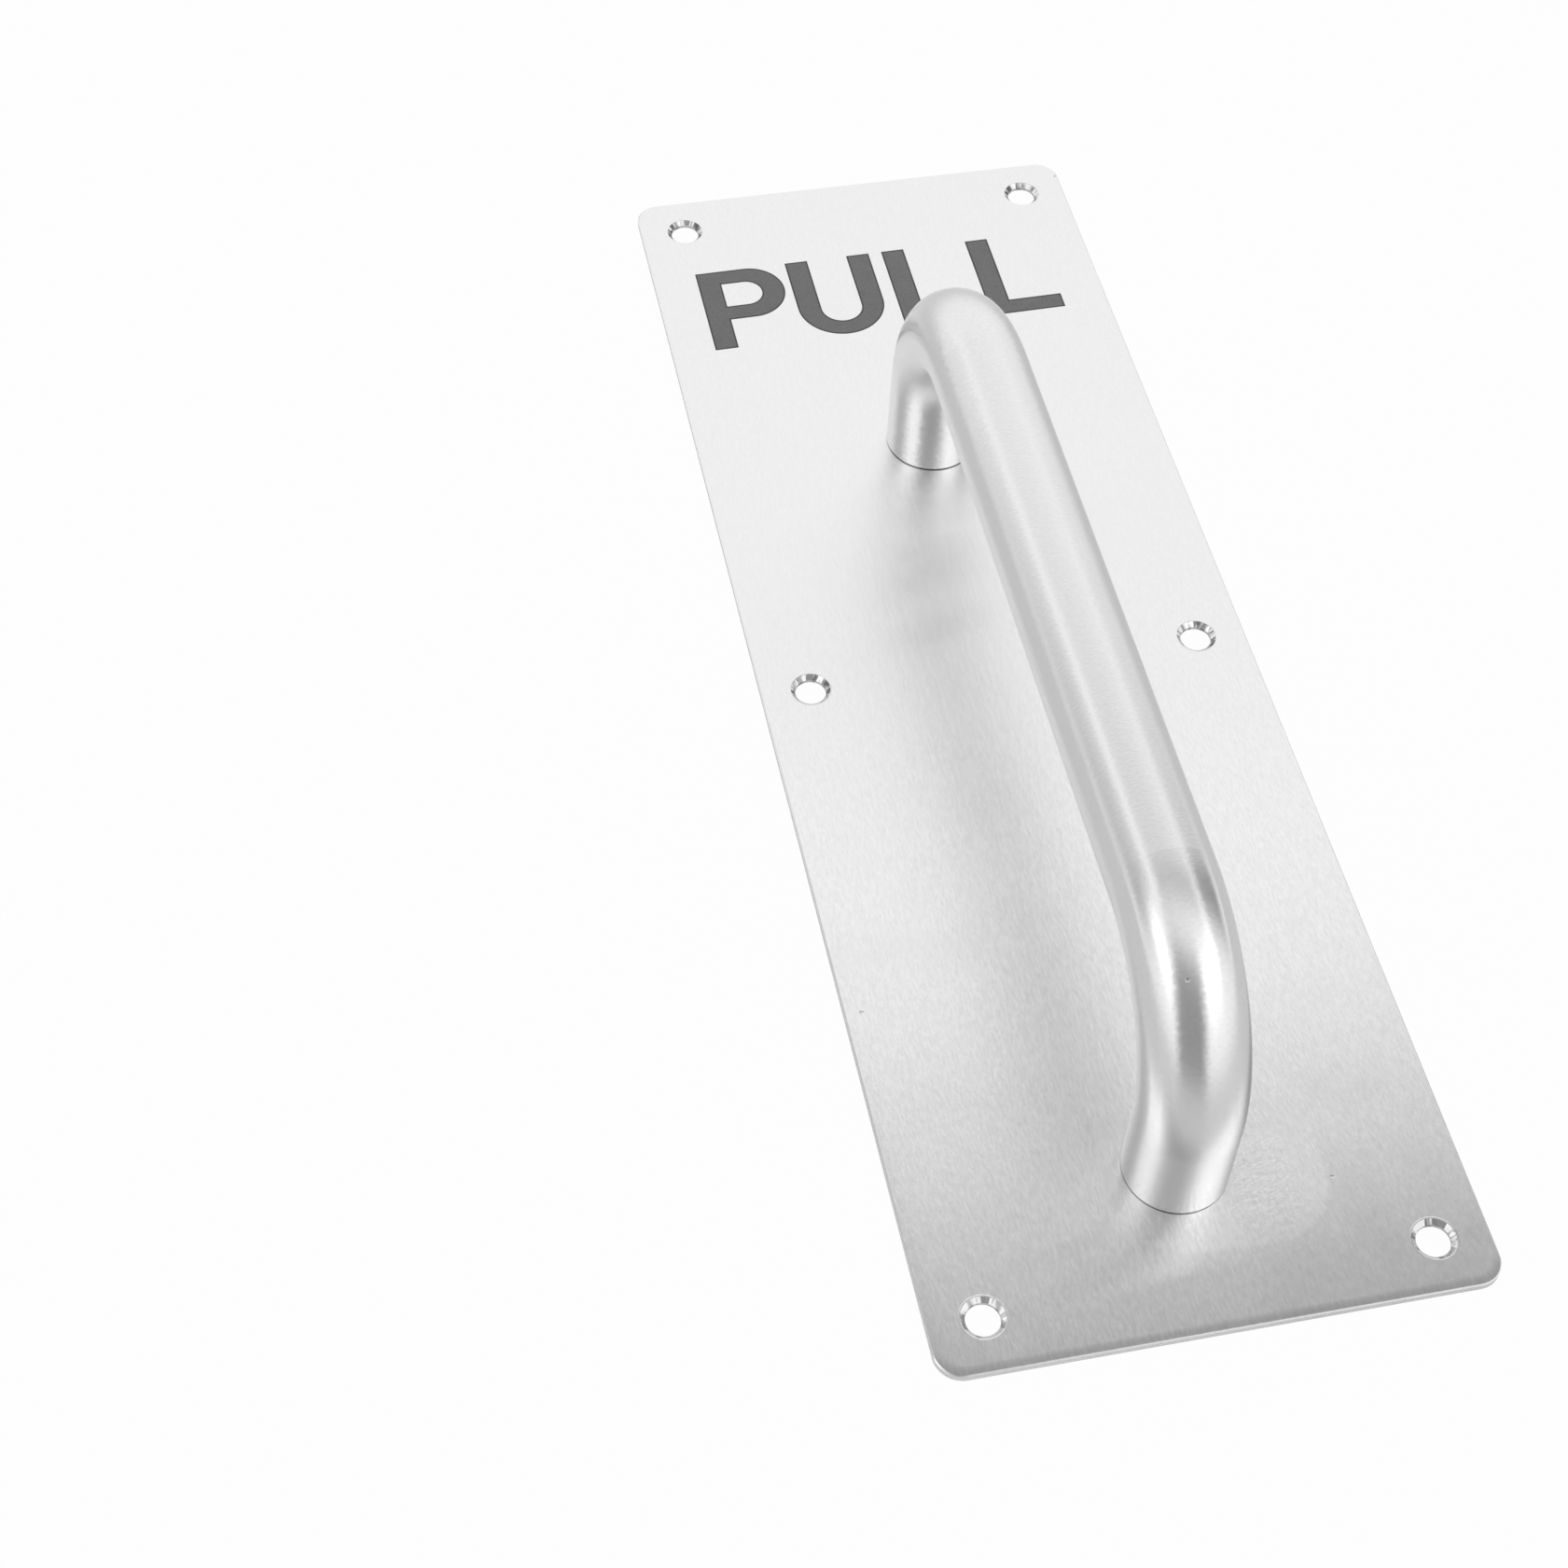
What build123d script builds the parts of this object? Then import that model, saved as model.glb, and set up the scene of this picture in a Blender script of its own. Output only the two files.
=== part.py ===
"""Door pull handle: a bent tube screwed from behind to a stainless steel plate.

Millimetres. The origin is the centre of the plate's back face, which lies against the door.
+X runs across the plate, +Y along it towards the lettered end, and +Z out of the door.
"""

from build123d import *
import math
import os

# Plate
PLATE_WIDTH = 100.0
PLATE_LENGTH = 300.0
PLATE_THICKNESS = 1.5
CORNER_RADIUS = 5.0
EDGE_CHAMFER = 0.25  # the front edge is broken all the way round

# Holes for the screws into the door, three down each side
DOOR_HOLE_INSET = 10.0  # hole centre to the nearest edges
DOOR_HOLE_DIAMETER = 6.2
DOOR_SINK_DIAMETER = 8.0
SINK_ANGLE = 90.0  # the full angle of every countersink and screw head

# Handle tube
TUBE_DIAMETER = 19.0
TUBE_WALL = 1.5
PROJECTION = 55.0  # front face of the plate to the outside of the grip
BEND_RADIUS = 28.5  # to the tube's centre line
LOWER_FOOT_INSET = 32.0  # plate's lower edge to the centre of the lower foot
FOOT_SPACING = 182.5
TUBE_END_CHAMFER = 0.3

# Bosses, one pressed into each end of the tube
BOSS_CLEARANCE = 0.03  # radial, between boss and tube
BOSS_INSET = 2.5  # top of the boss to where the bend starts

# Screws that hold the handle to the plate
SCREW_DIAMETER = 6.0
SCREW_HEAD_DIAMETER = 12.0
HEAD_RECESS = 0.15  # the head lies this far below the back of the plate
HEAD_CLEARANCE = 0.05  # radial, round the head
THREAD_CLEARANCE = 0.05  # radial, between screw and boss
SCREW_TIP_INSET = 1.5  # end of the screw to the top of the boss
HEX_ACROSS_FLATS = 4.0
HEX_DEPTH = 2.2

# Places that follow from the sizes above
CONE_RATIO = math.tan(math.radians(SINK_ANGLE / 2))  # radius lost for each millimetre of depth
CENTRE_LINE_HEIGHT = PLATE_THICKNESS + PROJECTION - TUBE_DIAMETER / 2
LOWER_FOOT_Y = LOWER_FOOT_INSET - PLATE_LENGTH / 2
UPPER_FOOT_Y = LOWER_FOOT_Y + FOOT_SPACING
BEND_START_HEIGHT = CENTRE_LINE_HEIGHT - BEND_RADIUS
BOSS_TOP = BEND_START_HEIGHT - BOSS_INSET
SCREW_TIP = BOSS_TOP - SCREW_TIP_INSET
DOOR_HOLE_X = PLATE_WIDTH / 2 - DOOR_HOLE_INSET
DOOR_HOLE_Y = PLATE_LENGTH / 2 - DOOR_HOLE_INSET


def countersunk(rim_radius, shank_radius, rim_height, end_height):
    """Solid of revolution about Z: a cone from its rim down to a shank, which runs on to its end."""
    towards_end = math.copysign(1, end_height - rim_height)
    cone_height = rim_height + towards_end * (rim_radius - shank_radius) / CONE_RATIO
    outline = Polyline(
        (0, 0, rim_height),
        (rim_radius, 0, rim_height),
        (shank_radius, 0, cone_height),
        (shank_radius, 0, end_height),
        (0, 0, end_height),
        close=True,
    )
    return revolve(make_face(outline), Axis.Z)


def door_hole():
    """Space for one screw into the door, sunk from the front of the plate."""
    return countersunk(DOOR_SINK_DIAMETER / 2, DOOR_HOLE_DIAMETER / 2, PLATE_THICKNESS, 0)


def handle_screw_hole():
    """Space for one handle screw, sunk from the back of the plate and on through the boss."""
    head = SCREW_HEAD_DIAMETER / 2 + HEAD_CLEARANCE + HEAD_RECESS * CONE_RATIO
    return countersunk(head, SCREW_DIAMETER / 2 + THREAD_CLEARANCE, 0, BOSS_TOP)


def plate():
    blank = extrude(RectangleRounded(PLATE_WIDTH, PLATE_LENGTH, CORNER_RADIUS), PLATE_THICKNESS)
    front_rim = blank.faces().sort_by(Axis.Z)[-1].outer_wire().edges()
    blank = chamfer(front_rim, EDGE_CHAMFER)
    for x in (-DOOR_HOLE_X, DOOR_HOLE_X):
        for y in (-DOOR_HOLE_Y, 0, DOOR_HOLE_Y):
            blank -= Pos(x, y, 0) * door_hole()
    for y in (LOWER_FOOT_Y, UPPER_FOOT_Y):
        blank -= Pos(0, y, 0) * handle_screw_hole()
    return blank


def handle_tube():
    """Round tube swept up one leg, along the grip and down the other leg."""
    corners = [
        (0, LOWER_FOOT_Y, PLATE_THICKNESS),
        (0, LOWER_FOOT_Y, CENTRE_LINE_HEIGHT),
        (0, UPPER_FOOT_Y, CENTRE_LINE_HEIGHT),
        (0, UPPER_FOOT_Y, PLATE_THICKNESS),
    ]
    centre_line = FilletPolyline(*corners, radius=BEND_RADIUS)
    section = Circle(TUBE_DIAMETER / 2) - Circle(TUBE_DIAMETER / 2 - TUBE_WALL)
    tube = sweep(Pos(*corners[0]) * section, path=centre_line)
    ends = tube.faces().filter_by(Plane.XY).sort_by(Axis.Z)[:2]
    outer_rims = [end.outer_wire().edges() for end in ends]
    return chamfer(outer_rims[0] + outer_rims[1], TUBE_END_CHAMFER)


def boss():
    """Plug for one end of the tube, bored and countersunk for its screw."""
    plug = extrude(Circle(TUBE_DIAMETER / 2 - TUBE_WALL - BOSS_CLEARANCE), BOSS_TOP - PLATE_THICKNESS)
    return Pos(0, 0, PLATE_THICKNESS) * plug - handle_screw_hole()


def handle_screw():
    """Countersunk screw, its head just below the back of the plate and its shank in the boss."""
    body = countersunk(SCREW_HEAD_DIAMETER / 2, SCREW_DIAMETER / 2, HEAD_RECESS, SCREW_TIP)
    hexagon = RegularPolygon(HEX_ACROSS_FLATS / 2, 6, major_radius=False)
    return body - Pos(0, 0, HEAD_RECESS) * extrude(hexagon, HEX_DEPTH)


nodes = {
    "plate": plate(),
    "handle_tube": handle_tube(),
    "lower_boss": Pos(0, LOWER_FOOT_Y, 0) * boss(),
    "upper_boss": Pos(0, UPPER_FOOT_Y, 0) * boss(),
    "lower_handle_screw": Pos(0, LOWER_FOOT_Y, 0) * handle_screw(),
    "upper_handle_screw": Pos(0, UPPER_FOOT_Y, 0) * handle_screw(),
}

os.makedirs("parts", exist_ok=True)
for name, shape in nodes.items():
    export_step(shape, f"parts/{name}.step")
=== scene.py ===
"""Looks of the door pull handle: satin stainless steel, dark lettering and the studio around them.

Lengths are in millimetres, as in the part's drawing, and to_metres() turns them into the frame's
metres. The origin is the centre of the plate's back face, +Y runs towards the lettered end and
+Z out of the door.
"""

import math

import bpy
from mathutils import Matrix, Vector
from mathutils.geometry import tessellate_polygon


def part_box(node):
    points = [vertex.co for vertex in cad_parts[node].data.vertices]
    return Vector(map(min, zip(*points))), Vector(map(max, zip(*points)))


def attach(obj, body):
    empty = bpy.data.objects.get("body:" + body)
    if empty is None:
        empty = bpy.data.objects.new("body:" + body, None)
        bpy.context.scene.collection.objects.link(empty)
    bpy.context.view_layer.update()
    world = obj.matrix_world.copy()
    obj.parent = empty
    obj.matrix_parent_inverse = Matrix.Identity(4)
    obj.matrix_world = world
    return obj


MM = 0.001

# Camera
CAMERA_PLACE = (-126.15, -337.41, 411.17)
CAMERA_AIM = (-50.05, -22.58, 1.5)  # point on the plate's front at the middle of the picture
CAMERA_ROLL = 2.57  # degrees
LENS = 62.12  # for the 36 mm sensor
SENSOR = 36.0

# Sizes repeated from the drawing
BEND_RADIUS = 28.5
DOOR_HOLE_X = 40.0
DOOR_HOLE_Y = 140.0  # and a third pair of holes halfway
DOOR_SINK_RADIUS = 4.0
CORNER_RADIUS = 5.0

# Lettering
CAP_HEIGHT = 25.3
LETTER_TOP = 125.4  # top of the capitals, from the plate's centre
LINE_SLOPE = 0.011  # the line of lettering climbs a little to the right
LETTER_RAISE = 0.03
LETTER_SINK = 0.01  # the lettering starts this far below the plate's surface
OUTLINE_WIDTH = 0.36
STEM = 5.2
P_LEFT = -40.4
P_WIDTH = 19.1
U_LEFT = -19.7
U_WIDTH = 19.6
FIRST_L_LEFT = 2.9
SECOND_L_LEFT = 22.7
L_WIDTH = 17.2
ARM = 4.3  # thickness of the horizontal strokes
P_BOWL = 16.1  # height of the bowl, from the cap line
ARC_STEPS = 16  # straight pieces in a quarter turn

# Marks on the plate's front: centre, half size and softness of the border in millimetres, and
# for the smudges how much they darken
SMUDGES = (
    ((34.0, -107.0), (9.0, 4.0), 3.0, 0.025),
    ((-36.0, -65.0), (15.0, 3.5), 4.0, 0.02),
    ((-5.0, -138.0), (7.0, 3.0), 3.0, 0.02),
    ((32.0, -144.0), (22.0, 8.0), 9.0, 0.07),
    ((30.5, -131.0), (4.0, 7.0), 3.5, 0.035),
    ((42.5, -127.0), (3.5, 7.0), 3.0, 0.03),
)
POLISHED = ((-36.0, -128.0), (18.0, 22.0), 10.0, 0.035)  # the last number is how much it brightens
SCRATCHED = ((14.0, -124.0), (6.0, 9.0), 3.0)
LIGHTER_PATCH = ((0.0, -112.0), (25.7, 23.3), 0.8)  # a patch of the front painted lighter: centre, half size and softness of its border
PITS = (  # place, radius and how much darker
    ((-46.8, -76.8), 0.5, 0.12),
    ((26.6, -125.0), 0.45, 0.35),
    ((49.4, 144.9), 0.45, 0.3),
    ((12.0, -62.0), 0.3, 0.2),
)
TUBE_PIT = ((-2.7, -110.8, 49.5), 0.45)

# Finishes: how light and how rough each one is
PLATE_TONE = 0.868
PLATE_ROUGHNESS = 0.2
SINK_ROUGHNESS = 0.09
# how much lighter the patch of the front is painted
LIGHTER_PATCH_AMOUNT = 0.08
PAINTED_RIM_DARKENING = 0.16  # painted shade along the near rim
CUT_PAINTED_HIGHLIGHT = 0.12  # painted highlight on the sheet's cut side faces
TUBE_TONE = 0.872
TUBE_ROUGHNESS = 0.24
STROKE_TILT = 0.1  # how far the grinding strokes lean the surface
TURNED_TONE = 0.78
BOSS_ROUGHNESS = 0.3
SCREW_ROUGHNESS = 0.22
LETTER_TONE = 0.154
LETTER_EDGE_TONE = 0.05

# Floor
FLOOR_HALF_SIDE = 3000.0
FLOOR_LEVEL = -0.05
FLOOR_TONE = 0.72
WHITE_SEEN = 0.97  # share of plain white in what the camera sees of the floor
WHITE_MIRRORED = 0.1  # the same share in reflections

# Studio: an even white room with two soft lamps and, further out, grey cards, all facing the
# object from out of the picture. Each has its compass direction from +Y towards +X and its height
# above the horizon in degrees, its width and height, and its brightness
LAMP_DISTANCE = 600.0
LAMP_BORDER = 120.0  # how far the soft border reaches in
LAMPS = {
    "left_softbox": (250, 35, 400, 300, 1.8),
    "right_softbox": (140, 40, 500, 300, 1.8),
}
CARD_DISTANCE = 800.0
CARD_BORDER = 300.0
CARDS = {
    "front_card": (200, 25, 1000, 1400, 0.3),
    "right_card": (80, 30, 700, 900, 0.15),
    "left_card": (290, 25, 700, 800, 0.3),
    "top_card": (10, 80, 1300, 620, 0.35),
}


def to_metres(point):
    return Vector(point) * MM


class Shader:
    """Adds nodes to one material. Values may be numbers, vectors or the outputs of other nodes."""

    def __init__(self, name):
        self.material = bpy.data.materials.new(name)
        self.material.use_nodes = True
        self.tree = self.material.node_tree
        self.surface = self.tree.nodes["Principled BSDF"]

    def feed(self, socket, value):
        if isinstance(value, bpy.types.NodeSocket):
            self.tree.links.new(value, socket)
        else:
            socket.default_value = value

    def set(self, name, value):
        self.feed(self.surface.inputs[name], value)

    def math(self, operation, *values):
        node = self.tree.nodes.new("ShaderNodeMath")
        node.operation = operation
        for socket, value in zip(node.inputs, values):
            self.feed(socket, value)
        return node.outputs[0]

    def add(self, *values):
        total = values[0]
        for value in values[1:]:
            total = self.math("ADD", total, value)
        return total

    def times(self, *values):
        total = values[0]
        for value in values[1:]:
            total = self.math("MULTIPLY", total, value)
        return total

    def minus(self, a, b):
        return self.math("SUBTRACT", a, b)

    def vector(self, operation, *values):
        node = self.tree.nodes.new("ShaderNodeVectorMath")
        node.operation = operation
        for socket, value in zip(node.inputs, values):
            self.feed(socket, value)
        return node.outputs[1] if operation in ("LENGTH", "DISTANCE") else node.outputs[0]

    def join(self, x, y, z):
        node = self.tree.nodes.new("ShaderNodeCombineXYZ")
        for socket, value in zip(node.inputs, (x, y, z)):
            self.feed(socket, value)
        return node.outputs[0]

    def split(self, vector):
        node = self.tree.nodes.new("ShaderNodeSeparateXYZ")
        self.feed(node.inputs[0], vector)
        return node.outputs

    def place(self):
        """Position on the part in millimetres."""
        node = self.tree.nodes.new("ShaderNodeTexCoord")
        return self.vector("MULTIPLY", node.outputs["Object"], (1 / MM, 1 / MM, 1 / MM))

    def noise(self, place, size, detail=2.0, roughness=0.5, seed=0.0):
        """Noise from 0 to 1 whose blobs are size millimetres long each way."""
        node = self.tree.nodes.new("ShaderNodeTexNoise")
        scaled = self.vector("DIVIDE", place, size)
        if seed:
            scaled = self.vector("ADD", scaled, (seed, seed * 2, seed * 3))
        self.feed(node.inputs["Vector"], scaled)
        node.inputs["Scale"].default_value = 1.0
        node.inputs["Detail"].default_value = detail
        node.inputs["Roughness"].default_value = roughness
        return node.outputs[0]

    def centred(self, value, amount):
        """The 0 to 1 value as a swing of amount each way."""
        return self.times(self.minus(value, 0.5), 2 * amount)

    def remap(self, value, low, high, start, end):
        """start where value is low, end where it is high, and between them in between."""
        node = self.tree.nodes.new("ShaderNodeMapRange")
        node.interpolation_type = "SMOOTHSTEP"
        for socket, number in zip(node.inputs, (value, low, high, start, end)):
            self.feed(socket, number)
        return node.outputs[0]

    def mix_vectors(self, share, first, second):
        return self.vector("ADD", self.scaled(first, self.minus(1.0, share)), self.scaled(second, share))

    def scaled(self, vector, factor):
        node = self.tree.nodes.new("ShaderNodeVectorMath")
        node.operation = "SCALE"
        self.feed(node.inputs[0], vector)
        self.feed(node.inputs["Scale"], factor)
        return node.outputs[0]

    def grey(self, value):
        """A grey colour of the given value."""
        node = self.tree.nodes.new("ShaderNodeCombineColor")
        for socket in node.inputs:
            self.feed(socket, value)
        return node.outputs[0]

    def patch(self, place, centre, half_size, soft):
        """1 inside a rounded patch of the front face, 0 outside its soft border."""
        x, y, z = self.split(place)
        rounding = min(half_size) * 0.5
        past_x = self.minus(self.math("ABSOLUTE", self.minus(x, centre[0])), half_size[0] - rounding)
        past_y = self.minus(self.math("ABSOLUTE", self.minus(y, centre[1])), half_size[1] - rounding)
        past = self.join(self.math("MAXIMUM", past_x, 0.0), self.math("MAXIMUM", past_y, 0.0), 0.0)
        outside = self.minus(self.vector("LENGTH", past), rounding)
        return self.remap(outside, -soft, soft, 1.0, 0.0)

    def pit(self, place, centre, radius):
        """1 in the middle of a small pit, falling to 0 at its rim."""
        return self.remap(self.vector("DISTANCE", place, centre), radius * 0.3, radius, 1.0, 0.0)

    def tilted(self, direction, slope):
        """Surface normal leaned sideways from the given direction along the surface."""
        normal = self.tree.nodes.new("ShaderNodeNewGeometry").outputs["Normal"]
        sideways = self.vector("CROSS_PRODUCT", normal, direction)
        return self.vector("NORMALIZE", self.vector("ADD", normal, self.scaled(sideways, slope)))

    def bump(self, height, depth, normal=None):
        """Surface normal of relief whose height from 0 to 1 is depth millimetres."""
        node = self.tree.nodes.new("ShaderNodeBump")
        node.inputs["Strength"].default_value = 1.0
        node.inputs["Distance"].default_value = depth * MM
        self.feed(node.inputs["Height"], height)
        if normal is not None:
            self.feed(node.inputs["Normal"], normal)
        return node.outputs[0]


def plate_steel(low, high):
    """Sheet ground along its length, rolled over a little at its rim, with turned countersinks."""
    s = Shader("plate_steel")
    place = s.place()
    x, y, z = s.split(place)
    s.set("Metallic", 1.0)
    s.set("Anisotropic", 1.0)

    # Countersinks, by the distance from the nearest hole's axis
    side = s.minus(s.math("ABSOLUTE", x), DOOR_HOLE_X)
    length = s.math("ABSOLUTE", y)
    along = s.math("MINIMUM", length, s.math("ABSOLUTE", s.minus(length, DOOR_HOLE_Y)))
    radial = s.vector("LENGTH", s.join(side, along, 0.0))
    in_sink = s.times(s.remap(radial, DOOR_SINK_RADIUS - 0.05, DOOR_SINK_RADIUS + 0.02, 1.0, 0.0),
                      s.remap(z, high.z - 0.06, high.z - 0.01, 1.0, 0.0))
    angle = s.math("ARCTAN2", s.times(along, s.math("SIGN", s.minus(length, DOOR_HOLE_Y / 2))), side)
    chatter = s.noise(s.join(s.times(angle, 2.2), s.times(radial, 0.25), x), (1.0, 1.0, 40.0), detail=1.0)
    burr = s.math("ABSOLUTE", s.minus(radial, DOOR_SINK_RADIUS + 0.12))
    burr = s.remap(burr, 0.0, 0.16, 1.0, 0.0)

    # Grain
    fine = s.noise(place, (0.42, 1.6, 0.42), detail=2.0)
    long_grain = s.noise(place, (0.8, 16.0, 0.8), detail=2.0, seed=3.1)
    cloud = s.noise(place, (13.0, 19.0, 13.0), detail=3.0, roughness=0.55, seed=7.7)
    mottle = s.noise(place, (2.6, 3.4, 2.6), detail=3.0, roughness=0.6, seed=1.3)

    # Rim, with painted shade along the near rim and a painted highlight on the cut side faces
    half_x = (high.x - low.x) / 2 - CORNER_RADIUS
    half_y = (high.y - low.y) / 2 - CORNER_RADIUS
    past_x = s.math("MAXIMUM", s.minus(s.math("ABSOLUTE", x), half_x), 0.0)
    past_y = s.math("MAXIMUM", s.minus(length, half_y), 0.0)
    inside = s.minus(CORNER_RADIUS, s.vector("LENGTH", s.join(past_x, past_y, 0.0)))
    rolled = s.remap(inside, 0.1, 1.9, 0.0, 1.0)
    facing_up = s.remap(z, high.z - 0.1, high.z - 0.02, 0.0, 1.0)
    # painted shade: the top face darkened along the near rim
    painted_rim_shade = s.times(s.remap(inside, 0.0, 1.8, 1.0, 0.0), s.remap(y, -144.0, -147.0, 0.0, 1.0), facing_up)
    cut = s.times(s.remap(inside, 0.3, 0.6, 1.0, 0.0), s.minus(1.0, facing_up))

    # Marks, with ragged borders
    ragged = s.vector("ADD", place, s.join(s.centred(mottle, 2.5), s.centred(cloud, 4.0), 0.0))
    smudged = 0.0
    darkened = 0.0
    for centre, half_size, soft, strength in SMUDGES:
        smudge = s.patch(ragged, centre, half_size, soft)
        smudged = s.math("MAXIMUM", smudged, smudge)
        darkened = s.add(darkened, s.times(smudge, strength))
    # a patch of the front painted lighter
    centre, half_size, soft = LIGHTER_PATCH
    nearly = s.mix_vectors(0.35, place, ragged)
    lighter_patch = s.times(s.patch(nearly, centre, half_size, soft), s.remap(s.minus(x, y), 118.0, 142.0, 0.0, 1.0))
    lighter_patch = s.times(lighter_patch, s.remap(y, -125.0, -108.0, 1.0, 0.0))
    centre, half_size, soft, strength = POLISHED
    polished = s.times(s.patch(ragged, centre, half_size, soft), strength)
    centre, half_size, soft = SCRATCHED
    scratched = s.patch(ragged, centre, half_size, soft)
    slanted = s.join(s.add(x, s.times(y, 0.6)), s.minus(y, s.times(x, 0.6)), 0.0)
    wavy = s.noise(s.vector("ADD", slanted, s.join(s.centred(mottle, 3.0), s.centred(mottle, -2.0), 0.0)),
                   (2.2, 1.0, 2.0), detail=3.0, roughness=0.6, seed=9.0)
    pitted = 0.0
    for (pit_x, pit_y), radius, strength in PITS:
        pit = s.pit(place, (pit_x, pit_y, high.z), radius)
        pitted = s.math("MAXIMUM", pitted, pit)
        darkened = s.add(darkened, s.times(pit, strength))

    worn = s.remap(y, 40.0, -100.0, 0.25, 1.0)
    ground = s.times(worn, s.minus(1.0, s.times(smudged, 0.35)), s.minus(1.0, in_sink))
    grain = s.add(s.centred(fine, 0.125), s.centred(long_grain, 0.025))
    tone = s.add(PLATE_TONE, s.centred(cloud, 0.012), s.centred(mottle, 0.008), s.times(grain, ground))
    tone = s.add(tone, s.times(smudged, s.centred(mottle, 0.05)), s.times(darkened, -1.0))
    # the patch painted lighter, and painted shade along the near rim
    tone = s.add(tone, s.times(lighter_patch, LIGHTER_PATCH_AMOUNT), s.times(painted_rim_shade, -PAINTED_RIM_DARKENING), polished)
    # painted reflections: dark facets painted into the countersinks
    painted_facet_reflections = s.times(in_sink, s.remap(chatter, 0.5, 0.6, 0.0, 0.45))
    # painted highlight on the cut side faces
    tone = s.add(tone, s.times(cut, CUT_PAINTED_HIGHLIGHT), s.times(painted_facet_reflections, -1.0))
    s.set("Base Color", s.grey(tone))
    rough = s.add(PLATE_ROUGHNESS, s.centred(cloud, 0.025), s.centred(long_grain, 0.015))
    rough = s.add(rough, s.centred(mottle, 0.012))
    rough = s.add(rough, s.times(smudged, s.centred(mottle, 0.08)))
    rough = s.add(s.times(rough, s.minus(1.0, in_sink)), s.times(SINK_ROUGHNESS, in_sink))
    rough = s.add(rough, s.times(cut, 0.08))
    s.set("Roughness", rough)
    outwards_x = s.times(side, s.math("SIGN", x))
    outwards_y = s.times(along, s.math("SIGN", y))
    outwards = s.vector("NORMALIZE", s.join(outwards_x, outwards_y, 0.0))
    s.set("Tangent", s.mix_vectors(in_sink, (1.0, 0.0, 0.0), outwards))
    normal = s.bump(s.times(fine, s.minus(1.0, in_sink)), 0.015)
    normal = s.bump(long_grain, 0.012, normal)
    normal = s.bump(cloud, 0.04, normal)
    normal = s.bump(s.times(wavy, scratched), 0.02, normal)
    normal = s.bump(s.minus(1.0, pitted), 0.08, normal)
    normal = s.bump(rolled, 0.035, normal)
    normal = s.bump(burr, 0.02, normal)
    normal = s.bump(s.times(chatter, in_sink), 0.5, normal)
    s.set("Normal", normal)
    return s.material


def tube_places(s, x, y, z, low, high):
    """Millimetres along the tube and around it, and the direction along it."""
    radius = (high.x - low.x) / 2
    bend_start = high.z - radius - BEND_RADIUS
    first_bend = low.y + radius + BEND_RADIUS
    last_bend = high.y - radius - BEND_RADIUS
    before_first = s.math("MINIMUM", s.minus(y, first_bend), 0.0)
    after_last = s.math("MAXIMUM", s.minus(y, last_bend), 0.0)
    beyond = s.add(before_first, after_last)
    above = s.math("MAXIMUM", s.minus(z, bend_start), 0.0)
    direction = s.vector("NORMALIZE", s.join(0.0, above, s.times(beyond, -1.0)))
    reach = s.vector("LENGTH", s.join(beyond, above, 0.0))
    around = s.times(s.math("ARCTAN2", x, s.minus(reach, BEND_RADIUS)), radius)
    turned = s.math("ARCTAN2", s.math("ABSOLUTE", beyond), above)
    down = s.minus(bend_start, s.math("MINIMUM", z, bend_start))
    past = s.add(s.times(turned, BEND_RADIUS), down)
    along = s.add(s.minus(y, beyond), s.times(s.math("SIGN", beyond), past))
    return along, around, direction, turned


def tube_steel(low, high):
    """Tube ground round and round, rubbed a little smoother at the bends."""
    s = Shader("tube_steel")
    x, y, z = s.split(s.place())
    along, around, direction, turned = tube_places(s, x, y, z, low, high)
    place = s.join(along, around, 0.0)
    s.set("Metallic", 1.0)
    s.set("Anisotropic", 0.95)
    s.set("Tangent", direction)
    fine = s.noise(place, (0.5, 0.9, 1.0), detail=1.0)
    strokes = s.noise(place, (0.42, 1.25, 1.0), detail=1.0, seed=4.2)
    cloud = s.noise(place, (16.0, 9.0, 1.0), detail=2.0, seed=2.4)
    bent = s.remap(turned, 0.05, 0.5, 0.0, 1.0)
    pitted = s.pit(s.join(x, y, z), *TUBE_PIT)
    # painted shade: the tube darkened just above its foot, where it meets the plate
    painted_seam_shade = s.remap(z, low.z + 0.12, low.z + 0.34, 1.0, 0.0)
    tone = s.add(TUBE_TONE, s.centred(cloud, 0.01), s.centred(fine, 0.05), s.times(pitted, -0.3))
    s.set("Base Color", s.grey(s.times(tone, s.minus(1.0, s.times(painted_seam_shade, 0.85)))))
    rough = s.add(TUBE_ROUGHNESS, s.times(bent, -0.02), s.centred(cloud, 0.02), s.centred(strokes, 0.015))
    s.set("Roughness", rough)
    upper_grip = s.remap(along, -10.0, 26.0, 0.0, 1.0)
    lower_bend = s.remap(s.math("ABSOLUTE", s.minus(along, -112.0)), 6.0, 15.0, 0.2, 0.0)
    relief = s.add(0.2, s.times(s.math("MAXIMUM", upper_grip, lower_bend), 0.8))
    normal = s.tilted(direction, s.times(s.centred(strokes, STROKE_TILT), relief))
    normal = s.bump(s.times(fine, s.minus(1.0, s.times(bent, 0.6))), 0.02, normal)
    normal = s.bump(s.minus(1.0, pitted), 0.06, normal)
    s.set("Normal", normal)
    return s.material


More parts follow.
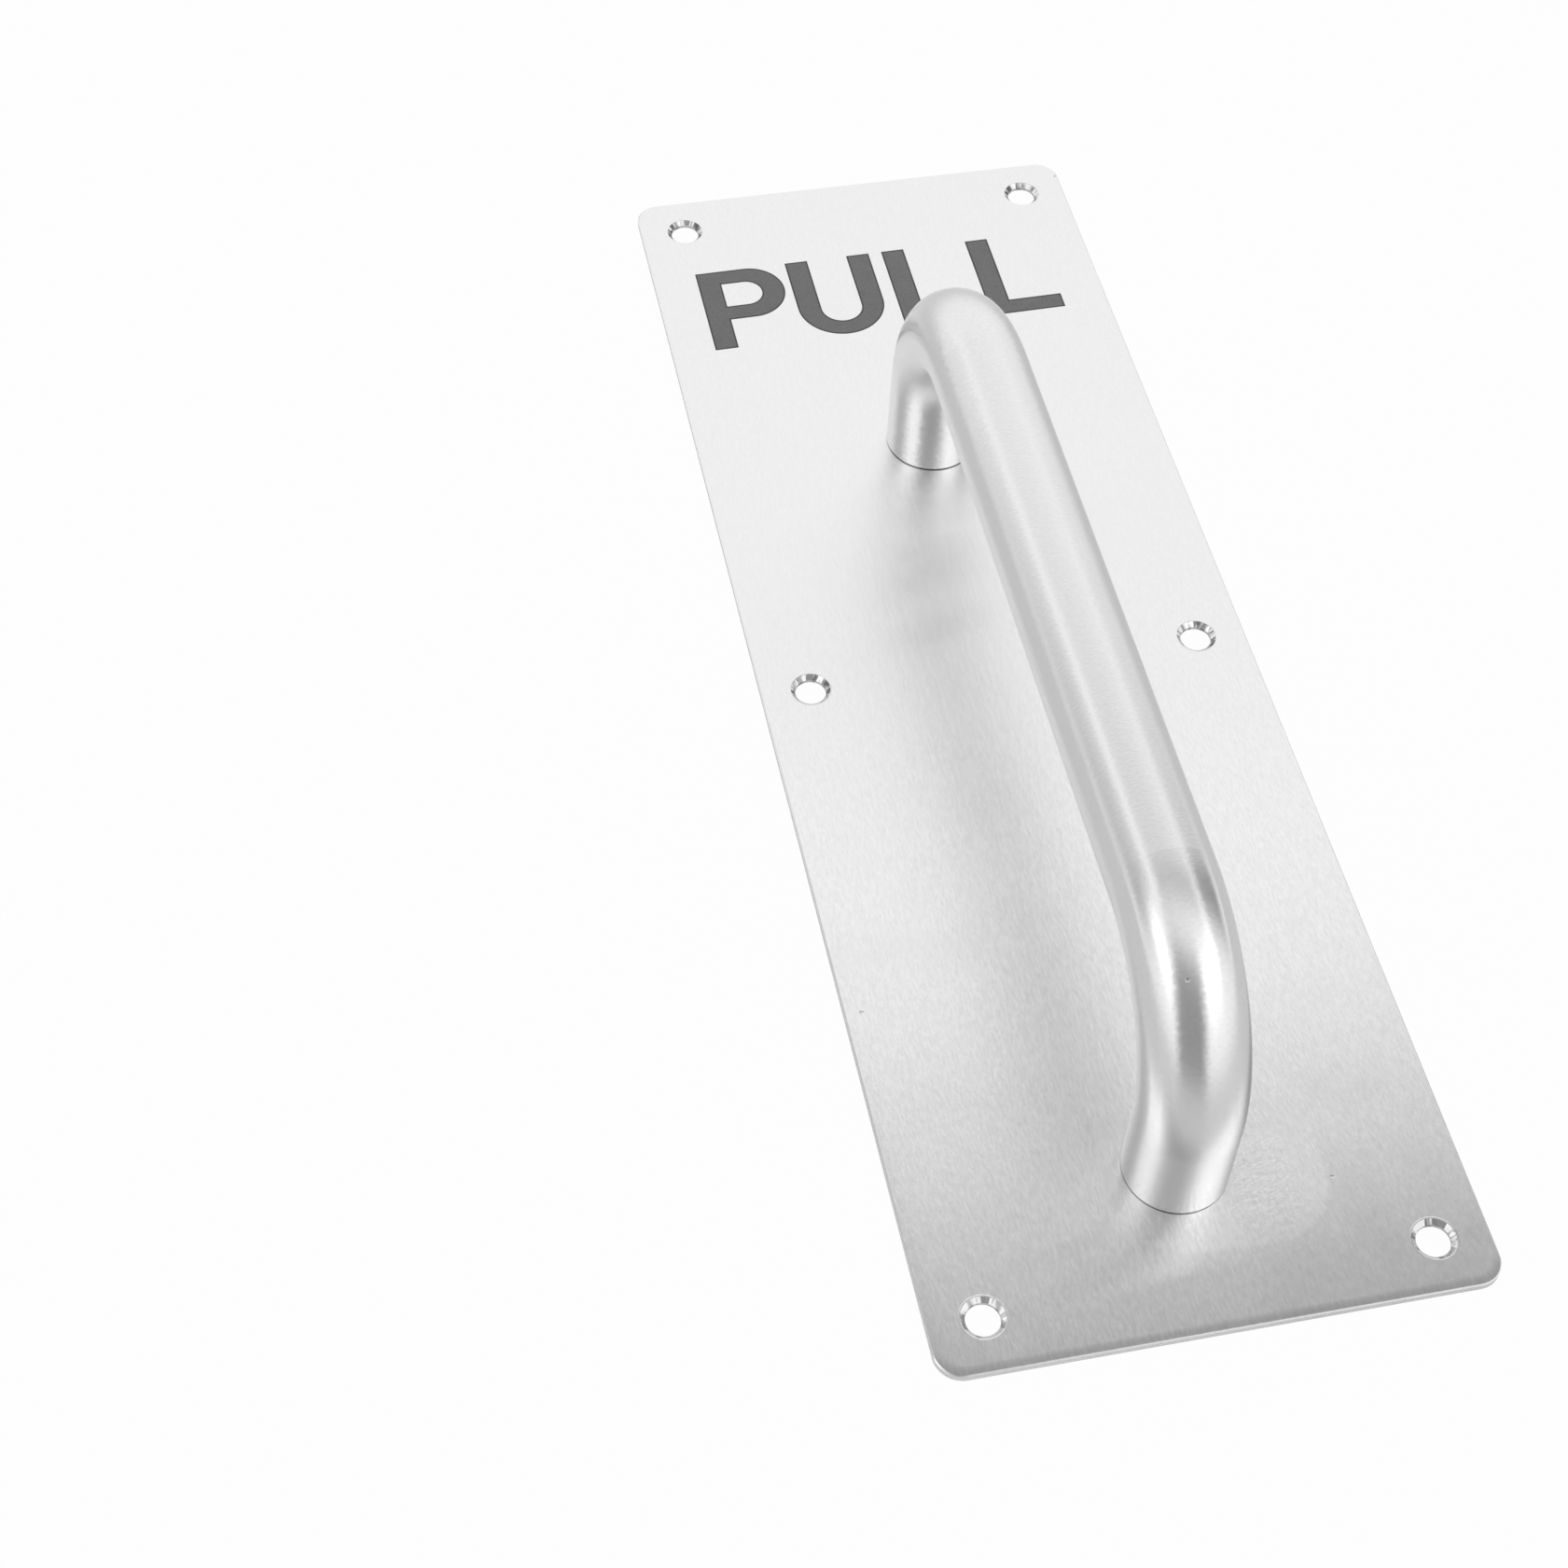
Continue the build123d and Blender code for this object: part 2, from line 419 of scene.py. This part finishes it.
def turned_steel(name, centres, rough):
    """Lathe-turned steel: fine rings round the nearest of the given axes."""
    s = Shader(name)
    x, y, z = s.split(s.place())
    middle = (centres[0] + centres[1]) / 2
    gap = (centres[1] - centres[0]) / 2
    off = s.minus(s.math("ABSOLUTE", s.minus(y, middle)), gap)
    radial = s.vector("LENGTH", s.join(x, off, 0.0))
    rings = s.noise(s.join(radial, z, 0.0), (0.22, 0.22, 1.0), detail=2.0)
    wear = s.noise(s.join(x, y, z), (2.5, 2.5, 2.5), detail=3.0, seed=5.0)
    s.set("Metallic", 1.0)
    s.set("Base Color", s.grey(s.add(TURNED_TONE, s.centred(wear, 0.05), s.centred(rings, 0.03))))
    s.set("Roughness", s.add(rough, s.centred(rings, 0.05), s.centred(wear, 0.05)))
    s.set("Normal", s.bump(rings, 0.008))
    return s.material


def letter_paint(name, tone):
    """Matt dark filling, slightly uneven as it was wiped in."""
    s = Shader(name)
    place = s.place()
    patchy = s.noise(place, (2.2, 3.0, 2.2), detail=3.0)
    grain = s.noise(place, (0.3, 0.9, 0.3), detail=2.0, seed=2.0)
    s.set("Base Color", s.grey(s.add(tone, s.centred(patchy, tone * 0.16), s.centred(grain, tone * 0.3))))
    s.set("Roughness", s.add(0.5, s.centred(patchy, 0.06)))
    s.set("Normal", s.bump(grain, 0.004))
    return s.material


def arc(centre, radii, start, end):
    """Points along an elliptical arc, angles in degrees, both ends included."""
    steps = max(2, round(abs(end - start) / 90 * ARC_STEPS))
    points = []
    for step in range(steps + 1):
        angle = math.radians(start + (end - start) * step / steps)
        points.append((centre[0] + radii[0] * math.cos(angle), centre[1] + radii[1] * math.sin(angle)))
    return points


def letter_p():
    """Closed outlines of a P from its lower left corner: the outside, then the counter."""
    outer = P_BOWL / 2
    outside = [(0, 0), (STEM, 0), (STEM, CAP_HEIGHT - P_BOWL)]
    outside += arc((P_WIDTH - outer, CAP_HEIGHT - outer), (outer, outer), -90, 90)
    outside.append((0, CAP_HEIGHT))
    inner = outer - ARM
    counter = [(STEM, CAP_HEIGHT - ARM)]
    counter += arc((P_WIDTH - STEM - inner, CAP_HEIGHT - outer), (inner, inner), 90, -90)
    counter.append((STEM, CAP_HEIGHT - P_BOWL + ARM))
    return [outside, counter]


def letter_u():
    half = U_WIDTH / 2
    inner = half - STEM
    outside = [(0, CAP_HEIGHT)]
    outside += arc((half, half), (half, half), 180, 360)
    outside.append((U_WIDTH, CAP_HEIGHT))
    outside.append((U_WIDTH - STEM, CAP_HEIGHT))
    outside += arc((half, ARM + inner), (inner, inner), 360, 180)
    outside.append((STEM, CAP_HEIGHT))
    return [outside]


def letter_l():
    return [[(0, 0), (L_WIDTH, 0), (L_WIDTH, ARM), (STEM, ARM), (STEM, CAP_HEIGHT), (0, CAP_HEIGHT)]]


def signed_area(loop):
    pairs = zip(loop, loop[1:] + loop[:1])
    return sum(a[0] * b[1] - b[0] * a[1] for a, b in pairs) / 2


def inset(loop, distance):
    """The loop moved to its left by distance, corner by corner."""
    moved = []
    count = len(loop)
    for i in range(count):
        before, here, after = Vector(loop[i - 1]), Vector(loop[i]), Vector(loop[(i + 1) % count])
        first = (here - before).normalized()
        second = (after - here).normalized()
        normal_a = Vector((-first.y, first.x))
        normal_b = Vector((-second.y, second.x))
        middle = (normal_a + normal_b).normalized()
        moved.append(tuple(here + middle * distance / middle.dot(normal_a)))
    return moved


def build_letter(name, outlines, left, surface, fill, edge):
    """A letter as a thin layer of paint: walls, a narrow darker border and the field inside it."""
    corner = Vector((left, LETTER_TOP - CAP_HEIGHT, 0))
    low = surface - LETTER_SINK
    high = surface + LETTER_RAISE
    vertices, faces, slots = [], [], []
    rings, ring_vertices = [], []
    for number, outline in enumerate(outlines):
        loop = list(outline)
        if (signed_area(loop) > 0) != (number == 0):
            loop.reverse()
        inner = inset(loop, OUTLINE_WIDTH)
        count = len(loop)
        base = len(vertices)
        for level, ring in ((low, loop), (high, loop), (high, inner)):
            for x, y in ring:
                climbed = y + (left + x) * LINE_SLOPE
                vertices.append(to_metres(corner + Vector((x, climbed, level))))
        for i in range(count):
            j = (i + 1) % count
            for lower in (base, base + count):
                faces.append((lower + i, lower + j, lower + count + j, lower + count + i))
                slots.append(1)
        rings.append([Vector((x, y, 0)) for x, y in inner])
        ring_vertices += range(base + 2 * count, base + 3 * count)
    for triangle in tessellate_polygon(rings):
        a, b, c = (ring_vertices[k] for k in triangle)
        normal = (vertices[b] - vertices[a]).cross(vertices[c] - vertices[a])
        faces.append((a, b, c) if normal.z > 0 else (a, c, b))
        slots.append(0)
    mesh = bpy.data.meshes.new(name)
    mesh.from_pydata(vertices, [], faces)
    mesh.materials.append(fill)
    mesh.materials.append(edge)
    mesh.polygons.foreach_set("material_index", slots)
    mesh.update()
    letter = bpy.data.objects.new(name, mesh)
    bpy.context.scene.collection.objects.link(letter)
    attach(letter, "root")


def build_lettering(surface):
    fill = letter_paint("letter_fill", LETTER_TONE)
    edge = letter_paint("letter_edge", LETTER_EDGE_TONE)
    letters = (
        ("letter_p", letter_p(), P_LEFT),
        ("letter_u", letter_u(), U_LEFT),
        ("first_letter_l", letter_l(), FIRST_L_LEFT),
        ("second_letter_l", letter_l(), SECOND_L_LEFT),
    )
    for name, outlines, left in letters:
        build_letter(name, outlines, left, surface, fill, edge)


def place_camera():
    camera = bpy.data.objects.new("camera", bpy.data.cameras.new("camera"))
    bpy.context.scene.collection.objects.link(camera)
    camera.data.lens = LENS
    camera.data.sensor_width = SENSOR
    place = to_metres(CAMERA_PLACE)
    turn = (to_metres(CAMERA_AIM) - place).to_track_quat("-Z", "Y")
    roll = Matrix.Rotation(math.radians(CAMERA_ROLL), 4, "Z")
    camera.matrix_world = Matrix.Translation(place) @ turn.to_matrix().to_4x4() @ roll
    camera.data.clip_start = 0.01
    bpy.context.scene.camera = camera


def build_floor():
    """Pale floor that reads as white to the camera and in reflections, and keeps a shadow."""
    side = FLOOR_HALF_SIDE * MM
    level = FLOOR_LEVEL * MM
    mesh = bpy.data.meshes.new("floor")
    corners = [(-side, -side, level), (side, -side, level), (side, side, level), (-side, side, level)]
    mesh.from_pydata(corners, [], [(0, 1, 2, 3)])
    floor = bpy.data.objects.new("floor", mesh)
    bpy.context.scene.collection.objects.link(floor)
    s = Shader("floor")
    s.set("Base Color", (FLOOR_TONE, FLOOR_TONE, FLOOR_TONE, 1))
    s.set("Roughness", 1.0)
    s.set("Specular IOR Level", 0.0)
    glow = s.tree.nodes.new("ShaderNodeEmission")
    path = s.tree.nodes.new("ShaderNodeLightPath")
    mirrored = s.math("MAXIMUM", path.outputs["Is Glossy Ray"], path.outputs["Is Transmission Ray"])
    seen = s.times(path.outputs["Is Camera Ray"], WHITE_SEEN)
    share = s.math("MAXIMUM", seen, s.times(mirrored, WHITE_MIRRORED))
    mix = s.tree.nodes.new("ShaderNodeMixShader")
    s.feed(mix.inputs[0], share)
    s.feed(mix.inputs[1], s.surface.outputs[0])
    s.feed(mix.inputs[2], glow.outputs[0])
    s.feed(s.tree.nodes["Material Output"].inputs[0], mix.outputs[0])
    mesh.materials.append(s.material)


def build_panel(name, distance, border, compass, height_angle, width, height, brightness):
    """A lamp or card: a glowing rectangle with a soft border, unseen by the camera, facing the object."""
    mesh = bpy.data.meshes.new(name)
    half_width = width / 2 * MM
    half_height = height / 2 * MM
    corners = [(-half_width, -half_height, 0), (half_width, -half_height, 0)]
    corners += [(half_width, half_height, 0), (-half_width, half_height, 0)]
    mesh.from_pydata(corners, [], [(0, 1, 2, 3)])
    panel = bpy.data.objects.new(name, mesh)
    bpy.context.scene.collection.objects.link(panel)
    panel.visible_camera = False
    s = Shader(name)
    x, y, z = s.split(s.place())
    across = s.remap(s.math("ABSOLUTE", x), width / 2 - border, width / 2, 1.0, 0.0)
    upwards = s.remap(s.math("ABSOLUTE", y), height / 2 - border, height / 2, 1.0, 0.0)
    glow = s.tree.nodes.new("ShaderNodeEmission")
    s.feed(glow.inputs["Strength"], brightness)
    mix = s.tree.nodes.new("ShaderNodeMixShader")
    s.feed(mix.inputs[0], s.times(across, upwards))
    s.feed(mix.inputs[1], s.tree.nodes.new("ShaderNodeBsdfTransparent").outputs[0])
    s.feed(mix.inputs[2], glow.outputs[0])
    s.feed(s.tree.nodes["Material Output"].inputs[0], mix.outputs[0])
    mesh.materials.append(s.material)
    turn = math.radians(compass)
    rise = math.radians(height_angle)
    outwards = Vector((math.sin(turn) * math.cos(rise), math.cos(turn) * math.cos(rise), math.sin(rise)))
    rotation = (-outwards).to_track_quat("-Z", "Y").to_matrix().to_4x4()
    panel.matrix_world = Matrix.Translation(to_metres(outwards * distance)) @ rotation


def light_studio():
    """Even light from all round, with the lamps and cards in front of it."""
    world = bpy.data.worlds.new("studio")
    world.use_nodes = True
    world.node_tree.nodes["Background"].inputs["Color"].default_value = (1, 1, 1, 1)
    bpy.context.scene.world = world
    for name, values in LAMPS.items():
        build_panel(name, LAMP_DISTANCE, LAMP_BORDER, *values)
    for name, values in CARDS.items():
        build_panel(name, CARD_DISTANCE, CARD_BORDER, *values)


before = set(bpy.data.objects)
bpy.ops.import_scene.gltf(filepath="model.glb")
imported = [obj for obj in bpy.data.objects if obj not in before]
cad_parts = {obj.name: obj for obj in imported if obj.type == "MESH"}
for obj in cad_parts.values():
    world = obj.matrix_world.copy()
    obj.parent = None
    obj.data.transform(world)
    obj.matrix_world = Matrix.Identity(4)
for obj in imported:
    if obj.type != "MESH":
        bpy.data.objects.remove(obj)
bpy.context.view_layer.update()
plate_low, plate_high = (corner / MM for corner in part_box("plate"))
tube_low, tube_high = (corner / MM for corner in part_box("handle_tube"))
tube_radius = (tube_high.x - tube_low.x) / 2
foot_places = (tube_low.y + tube_radius, tube_high.y - tube_radius)
boss_steel = turned_steel("boss_steel", foot_places, BOSS_ROUGHNESS)
screw_steel = turned_steel("screw_steel", foot_places, SCREW_ROUGHNESS)
finishes = {
    "plate": plate_steel(plate_low, plate_high),
    "handle_tube": tube_steel(tube_low, tube_high),
    "lower_boss": boss_steel,
    "upper_boss": boss_steel,
    "lower_handle_screw": screw_steel,
    "upper_handle_screw": screw_steel,
}
for node_name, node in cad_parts.items():
    node.data.materials.clear()
    node.data.materials.append(finishes[node_name])
build_lettering(plate_high.z)
place_camera()
build_floor()
light_studio()
bpy.context.scene.view_settings.view_transform = "Standard"
